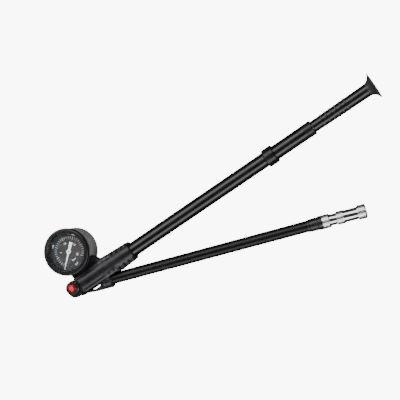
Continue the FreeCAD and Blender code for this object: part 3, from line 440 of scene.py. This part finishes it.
def build_hose():
    """The hose as one smooth curve over the points of its route."""
    curve = bpy.data.curves.new("hose_line", "CURVE")
    curve.dimensions = "3D"
    spline = curve.splines.new("NURBS")
    spline.points.add(len(HOSE_ROUTE) - 1)
    for point, (reach, height) in zip(spline.points, HOSE_ROUTE):
        point.co = (*along_hose(reach, height), 1)
    spline.order_u = 3
    spline.use_endpoint_u = True
    spline.resolution_u = 24
    curve.bevel_depth = HOSE_DIAMETER / 2
    curve.bevel_resolution = 12
    curve.use_fill_caps = True
    hose = bpy.data.objects.new("hose_line", curve)
    bpy.context.scene.collection.objects.link(hose)
    dress(hose, "hose")
    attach(hose, "hose_arm")
    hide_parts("hose")
    return hose


# ---------------------------------------------------------------- chuck

KNURL_TEETH = 32
KNURL_DEPTH = 0.08
KNURL_LEAST = 5.3
CHUCK_STEPS = 192
THREAD_START = 259.9
THREAD_STEP = 0.6
THREAD_CORNERS = 11
THREAD_RADII = (3.85, 3.7)

# Outlines as (reach along the hose, radius) in millimetres, from the bore round the outside.
BODY_OUTLINE = [
    (226.2, 1.2), (236.0, 1.2), (236.0, 2.0), (242.0, 2.0), (250.0, 1.6), (252.6, 1.6),
    (252.6, 3.2), (252.2, 4.2), (250.9, 4.2), (250.9, 3.0), (241.5, 3.0), (241.5, 4.7),
    (241.4, 4.8), (235.8, 4.8), (235.5, 4.9), (235.5, 5.5), (235.42, 5.7), (235.1, 5.98),
    (235.0, 6.0), (234.5, 6.0), (230.3, 6.0), (229.7, 6.0), (229.5, 5.95), (229.2, 5.6),
    (229.2, 3.0), (226.2, 3.0),
]
NUT_BORE = [(241.7, 3.05), (250.7, 3.05), (250.7, 4.45), (259.1, 4.45), (259.1, 3.85), (259.5, 3.7)]
NUT_THREAD = [(THREAD_START + THREAD_STEP * corner, THREAD_RADII[corner % 2])
              for corner in range(THREAD_CORNERS)]
NUT_OUTSIDE = [
    (266.6, 3.95), (267.1, 4.3), (267.1, 5.7), (267.0, 5.95), (266.8, 6.15), (266.6, 6.2), (266.1, 6.2),
    (261.0, 6.2), (260.4, 6.2), (260.2, 6.1), (260.0, 5.8), (260.0, 5.3), (259.7, 5.2),
    (248.6, 5.2), (248.2, 5.25), (248.2, 5.4), (248.1, 5.65), (247.9, 5.75), (247.5, 5.75),
    (242.6, 5.75), (242.1, 5.75), (241.85, 5.65), (241.7, 5.4),
]

# Stretches along the hose: those that the knurling cuts, and those whose faces look knurled.
BODY_KNURL, BODY_DULL = [(229.6, 235.05)], [(229.4, 235.3)]
NUT_KNURL, NUT_DULL = [(260.3, 266.65), (242.0, 247.95)], [(260.2, 266.8), (241.8, 248.1)]


def within(reach, bands):
    """Whether a reach lies in one of some stretches (start, end)."""
    return any(start < reach < end for start, end in bands)


def knurl(bands):
    """Straight knurling over some stretches of a turned piece."""
    def ripple(reach, angle):
        if within(reach, bands):
            return -KNURL_DEPTH * (0.5 - 0.5 * math.cos(KNURL_TEETH * angle)) ** 0.7
        return 0.0
    return ripple


def build_turned(name, outline, cut, dull, body, node):
    """Chrome piece turned about the hose's line, with knurled stretches, in a node's stead."""
    place = along_hose(0, HOSE_DROP)
    mesh = lathe(name, outline, place, HOSE_TILT, CHUCK_STEPS, knurl(cut))
    piece = new_piece(name, mesh, "chrome", body)
    piece.data.materials.append(LOOKS["knurled"])
    for face in mesh.polygons:
        reach = (face.center - place).dot(HOSE_WAY) / MM
        size = (face.center - place - HOSE_WAY * (reach * MM)).length / MM
        if size > KNURL_LEAST and within(reach, dull):
            face.material_index = 1
    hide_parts(node)
    return piece


def build_chuck():
    """Chuck body and turning nut with knurled rings, on the CAD pieces' own sizes."""
    body = build_turned("chuck_body_knurled", BODY_OUTLINE, BODY_KNURL, BODY_DULL, "hose_arm", "chuck_body")
    nut_outline = NUT_BORE + NUT_THREAD + NUT_OUTSIDE
    nut = build_turned("chuck_nut_knurled", nut_outline, NUT_KNURL, NUT_DULL, "chuck_nut", "chuck_nut")
    return [body, nut]


# ---------------------------------------------------------------- dial print

PRINT_THICK = 0.05
SCALE_START = 222.0
SCALE_SWEEP = 270.0
BAR_FULL = 20
PSI_FULL = 300
PSI_STEP = 10
RED_FROM = 0.62
TICK_END = 13.9
LONG_EVERY = 5
LONG_TICK = {"inner": 10.9, "width": 0.56}
SHORT_TICK = {"inner": 11.6, "width": 0.42}
BAR_NUMBERS = {"radius": 7.9, "size": 2.6}
PSI_NUMBERS = {"radius": 15.8, "size": 2.4}
UNIT_SIZE = 3.0
UNIT_ANGLE = -90
UNIT_PLACES = {"bar": 8.2, "psi": 12.6}
TEXT_SWELL = 0.02


def dial_point(angle, radius, height):
    """Point over the dial, the angle in degrees from +X, radius and height in millimetres."""
    turn = math.radians(angle)
    x = GAUGE.x + radius * MM * math.cos(turn)
    y = GAUGE.y + radius * MM * math.sin(turn)
    return Vector((x, y, DIAL_TOP + height * MM))


def add_bar(bm, angle, inner, outer, width):
    """Thin printed bar along a radius of the dial."""
    turn = math.radians(angle)
    side = Vector((-math.sin(turn), math.cos(turn), 0)) * (width * MM / 2)
    layers = []
    for height in (0.0, PRINT_THICK):
        near, far = dial_point(angle, inner, height), dial_point(angle, outer, height)
        layers.append([bm.verts.new(near - side), bm.verts.new(near + side),
                       bm.verts.new(far + side), bm.verts.new(far - side)])
    low, high = layers
    bm.faces.new(reversed(low))
    bm.faces.new(high)
    for step in range(4):
        after = (step + 1) % 4
        bm.faces.new((low[step], low[after], high[after], high[step]))


def scale_angle(share):
    """Angle on the dial at a share of the full scale."""
    return SCALE_START - SCALE_SWEEP * share


def step_share(step):
    """Share of the full scale at a step of the ticks."""
    return step * PSI_STEP / PSI_FULL


def build_ticks(name, look, steps):
    """One printed piece of tick marks, at some steps of the scale."""
    bm = bmesh.new()
    for step in steps:
        tick = SHORT_TICK if step % LONG_EVERY else LONG_TICK
        add_bar(bm, scale_angle(step_share(step)), tick["inner"], TICK_END, tick["width"])
    mesh = bpy.data.meshes.new(name)
    bm.to_mesh(mesh)
    bm.free()
    return new_piece(name, mesh, look, "pump")


def build_text(name, text, angle, radius, size, upright=False):
    """White printed text, with its top away from the dial's centre or upright, turned into a mesh."""
    font = bpy.data.curves.new(name, "FONT")
    font.body = text
    font.align_x = "CENTER"
    font.align_y = "CENTER"
    font.size = size * MM
    font.extrude = PRINT_THICK * MM / 2
    font.offset = TEXT_SWELL * MM
    font.resolution_u = 3
    shape = bpy.data.objects.new(name, font)
    mesh = bpy.data.meshes.new_from_object(shape)
    bpy.data.objects.remove(shape)
    turn = 0.0 if upright else math.radians(angle - 90)
    place = dial_point(angle, radius, PRINT_THICK / 2)
    mesh.transform(Matrix.Translation(place) @ Matrix.Rotation(turn, 4, "Z"))
    mesh.name = name
    return new_piece(name, mesh, "white", "pump")


def build_dial():
    """Ring of ticks, two scales of numbers and their units."""
    steps = range(PSI_FULL // PSI_STEP + 1)
    build_ticks("dial_ticks_low", "blue", [step for step in steps if step_share(step) < RED_FROM])
    build_ticks("dial_ticks_high", "red", [step for step in steps if step_share(step) >= RED_FROM])
    for number in (0, 5, 10, 15, 20):
        build_text(f"dial_bar_{number}", str(number), scale_angle(number / BAR_FULL), **BAR_NUMBERS)
    for number in (0, 100, 200, 300):
        build_text(f"dial_psi_{number}", str(number), scale_angle(number / PSI_FULL), **PSI_NUMBERS)
    for unit, radius in UNIT_PLACES.items():
        build_text(f"dial_unit_{unit}", unit, UNIT_ANGLE, radius, UNIT_SIZE, upright=True)


# ---------------------------------------------------------------- pieces turned about Z

# Profiles as (radius, height) in millimetres.
CROWN_PROFILE = [(2.35, -0.15), (2.4, 0.0), (2.2, 0.28), (1.7, 0.5), (0.9, 0.66), (0.4, 0.7)]
CAP_PROFILE = [(0.75, -0.1), (0.8, 0.1), (0.65, 0.22), (0.3, 0.25)]
SHELL_PROFILE = [(20.55, 4.0), (20.55, 12.2), (20.9, 12.25), (21.2, 12.0), (21.5, 11.0), (22.0, 4.0)]
SHELL_START = 229.0
SHELL_SWEEP = 88.0


def turned_up(name, profile, centre, steps, start=0.0, sweep=360.0):
    """Solid mesh turned about Z from (radius, height) corners in millimetres, whole or over a sweep."""
    whole = sweep >= 360.0
    count = steps if whole else steps + 1
    bm = bmesh.new()
    rings = []
    for step in range(count):
        angle = math.radians(start + sweep * step / steps)
        ring = []
        for radius, height in profile:
            x = centre.x + radius * MM * math.cos(angle)
            y = centre.y + radius * MM * math.sin(angle)
            ring.append(bm.verts.new((x, y, centre.z + height * MM)))
        rings.append(ring)
    pairs = list(zip(rings, rings[1:] + rings[:1] if whole else rings[1:]))
    last = len(profile) - 1
    for ring, following in pairs:
        for corner in range(last):
            bm.faces.new((ring[corner], ring[corner + 1], following[corner + 1], following[corner]))
        if not whole:
            bm.faces.new((ring[last], ring[0], following[0], following[last]))
    if whole:
        bm.faces.new([ring[0] for ring in rings])
        bm.faces.new([ring[last] for ring in rings])
    else:
        bm.faces.new(rings[0])
        bm.faces.new(rings[-1])
    bmesh.ops.recalc_face_normals(bm, faces=bm.faces)
    mesh = bpy.data.meshes.new(name)
    bm.to_mesh(mesh)
    bm.free()
    shade_smooth(mesh, TURNED_EDGE)
    return mesh


def top_of(node):
    """Middle of a node's upper side."""
    spot = middle(node)
    spot.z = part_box(node)[1][2]
    return spot


def build_button():
    """Lighter crowned centre on the flat face of the bleed button: a painted highlight where the glossy
    button catches the light.
    """
    mesh = turned_up("bleed_button_highlight", CROWN_PROFILE, top_of("bleed_button"), 64)
    new_piece("bleed_button_highlight", mesh, "button_painted_highlight", "bleed_button")


def build_gauge_details():
    """Cap on the needle's hub, and a thin dark arc shell that stands against the case's side towards the
    head, darkening that stretch of the case.
    """
    hub = Vector((GAUGE.x, GAUGE.y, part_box("needle")[1][2]))
    cap = turned_up("needle_hub_cap", CAP_PROFILE, hub, 32)
    new_piece("needle_hub_cap", cap, "gunmetal", "needle")
    shell_centre = Vector((GAUGE.x, GAUGE.y, BARREL.z))
    shell = turned_up("case_dark_shell", SHELL_PROFILE, shell_centre, 48, SHELL_START, SHELL_SWEEP)
    new_piece("case_dark_shell", shell, "head", "pump")


# ---------------------------------------------------------------- springs

def build_spring(node, body):
    """Copy of a node's coil in the node's stead, riding on a body."""
    mesh = nodes[node].data.copy()
    mesh.transform(nodes[node].matrix_world)
    coil = new_piece(node + "_coil", mesh, "steel", body)
    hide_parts(node)
    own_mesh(coil)
    return coil


# ---------------------------------------------------------------- floor, light, camera

FLOOR_GLOW = 9.0
FLOOR_STEPS = 96
FLOOR_PROFILE = [(1.5, 0.0), (3.0, 0.0), (3.6, 0.12), (4.1, 0.45), (4.45, 1.0), (4.6, 2.0), (4.6, 4.0)]


def build_floor():
    """Flat pale floor that curves up into a wall far out on all sides."""
    bm = bmesh.new()
    rings = []
    for radius, height in FLOOR_PROFILE:
        ring = []
        for step in range(FLOOR_STEPS):
            angle = 2 * math.pi * step / FLOOR_STEPS
            ring.append(bm.verts.new((radius * math.cos(angle), radius * math.sin(angle), height)))
        rings.append(ring)
    bm.faces.new(rings[0])
    for ring, following in zip(rings, rings[1:]):
        for step in range(FLOOR_STEPS):
            after = (step + 1) % FLOOR_STEPS
            bm.faces.new((ring[step], ring[after], following[after], following[step]))
    mesh = bpy.data.meshes.new("floor")
    bm.to_mesh(mesh)
    bm.free()
    mesh.polygons.foreach_set("use_smooth", [True] * len(mesh.polygons))
    floor = bpy.data.objects.new("floor", mesh)
    bpy.context.scene.collection.objects.link(floor)
    surface = Surface("floor_paper", (0.90, 0.90, 0.90), 0.75, specular=0.2)
    surface.vary_color(surface.noise(3.0, 3.0), (0.885, 0.885, 0.885))
    surface.shader.inputs["Emission Color"].default_value = (1, 1, 1, 1)
    surface.shader.inputs["Emission Strength"].default_value = FLOOR_GLOW
    mesh.materials.append(surface.material)
    floor.visible_glossy = False
    floor.visible_diffuse = False


LIGHT_CENTRE = Vector((0, -0.02, 0.01))
BOX_SHIFT = Vector((-0.1, 0, 0))
BOX_ANGLES = {"box_gauge_side": 40.0, "box_hose_side": -53.0}
BOX_DISTANCE = 0.95
BOX_SIZE = (2.2, 0.58)
BOX_POWER = 13.0
FILL_PLACE = Vector((0.1, 0.0, 1.6))
FILL_SIZE = (1.8, 1.8)
FILL_POWER = 26.0
WORLD_GLOW = 0.05


def add_strip(name, place, target, size, power):
    """Soft rectangular light at a place, turned to a target and unseen by the camera."""
    data = bpy.data.lights.new(name, "AREA")
    data.shape = "RECTANGLE"
    data.size, data.size_y = size
    data.energy = power
    lamp = bpy.data.objects.new(name, data)
    bpy.context.scene.collection.objects.link(lamp)
    way = (target - place).normalized()
    up = way.cross(Vector((1, 0, 0))).normalized()
    side = up.cross(way).normalized()
    lamp.matrix_world = Matrix.Translation(place) @ Matrix((side, -up, -way)).transposed().to_4x4()
    lamp.visible_camera = False
    return lamp


def build_lights():
    """Two wide soft boxes that draw the highlights along the tubes, and a fill that isn't mirrored."""
    target = LIGHT_CENTRE + BOX_SHIFT
    for name, angle in BOX_ANGLES.items():
        turn = math.radians(angle)
        aside = Vector((0, BOX_DISTANCE * math.sin(turn), BOX_DISTANCE * math.cos(turn)))
        add_strip(name, target + aside, target, BOX_SIZE, BOX_POWER)
    fill = add_strip("fill", LIGHT_CENTRE + FILL_PLACE, LIGHT_CENTRE, FILL_SIZE, FILL_POWER)
    fill.visible_glossy = False
    world = bpy.data.worlds.new("studio")
    world.use_nodes = True
    world.node_tree.nodes["Background"].inputs["Color"].default_value = (1, 1, 1, 1)
    world.node_tree.nodes["Background"].inputs["Strength"].default_value = WORLD_GLOW
    bpy.context.scene.world = world


SENSOR_WIDTH = 36.0
LENS = 99.0
CAMERA_RIGHT = Vector((0.8055, -0.5379, -0.2480))
CAMERA_UP = Vector((0.5495, 0.8347, -0.0270))
CAMERA_OFFSET = Vector((0.3517, -0.1072, 0.9287))
CAMERA_RISE = 0.00027


def build_camera():
    """Camera above the pump, tilted and rolled so that the barrel runs up to the right."""
    data = bpy.data.cameras.new("camera")
    data.sensor_width = SENSOR_WIDTH
    data.lens = LENS
    camera = bpy.data.objects.new("camera", data)
    bpy.context.scene.collection.objects.link(camera)
    back = CAMERA_RIGHT.cross(CAMERA_UP).normalized()
    up = back.cross(CAMERA_RIGHT).normalized()
    zero = Vector((ZERO_X, BARREL.y, BARREL.z))
    place = zero + CAMERA_OFFSET + up * CAMERA_RISE
    axes = Matrix((CAMERA_RIGHT.normalized(), up, back)).transposed().to_4x4()
    camera.matrix_world = Matrix.Translation(place) @ axes
    bpy.context.scene.camera = camera


hose = build_hose()
chuck_pieces = build_chuck()
build_dial()
build_button()
build_gauge_details()
build_spring("valve_spring", "pump")
build_spring("bleed_spring", "pump")
depressor_coil = build_spring("depressor_spring", "hose_arm")
build_floor()
build_lights()
build_camera()
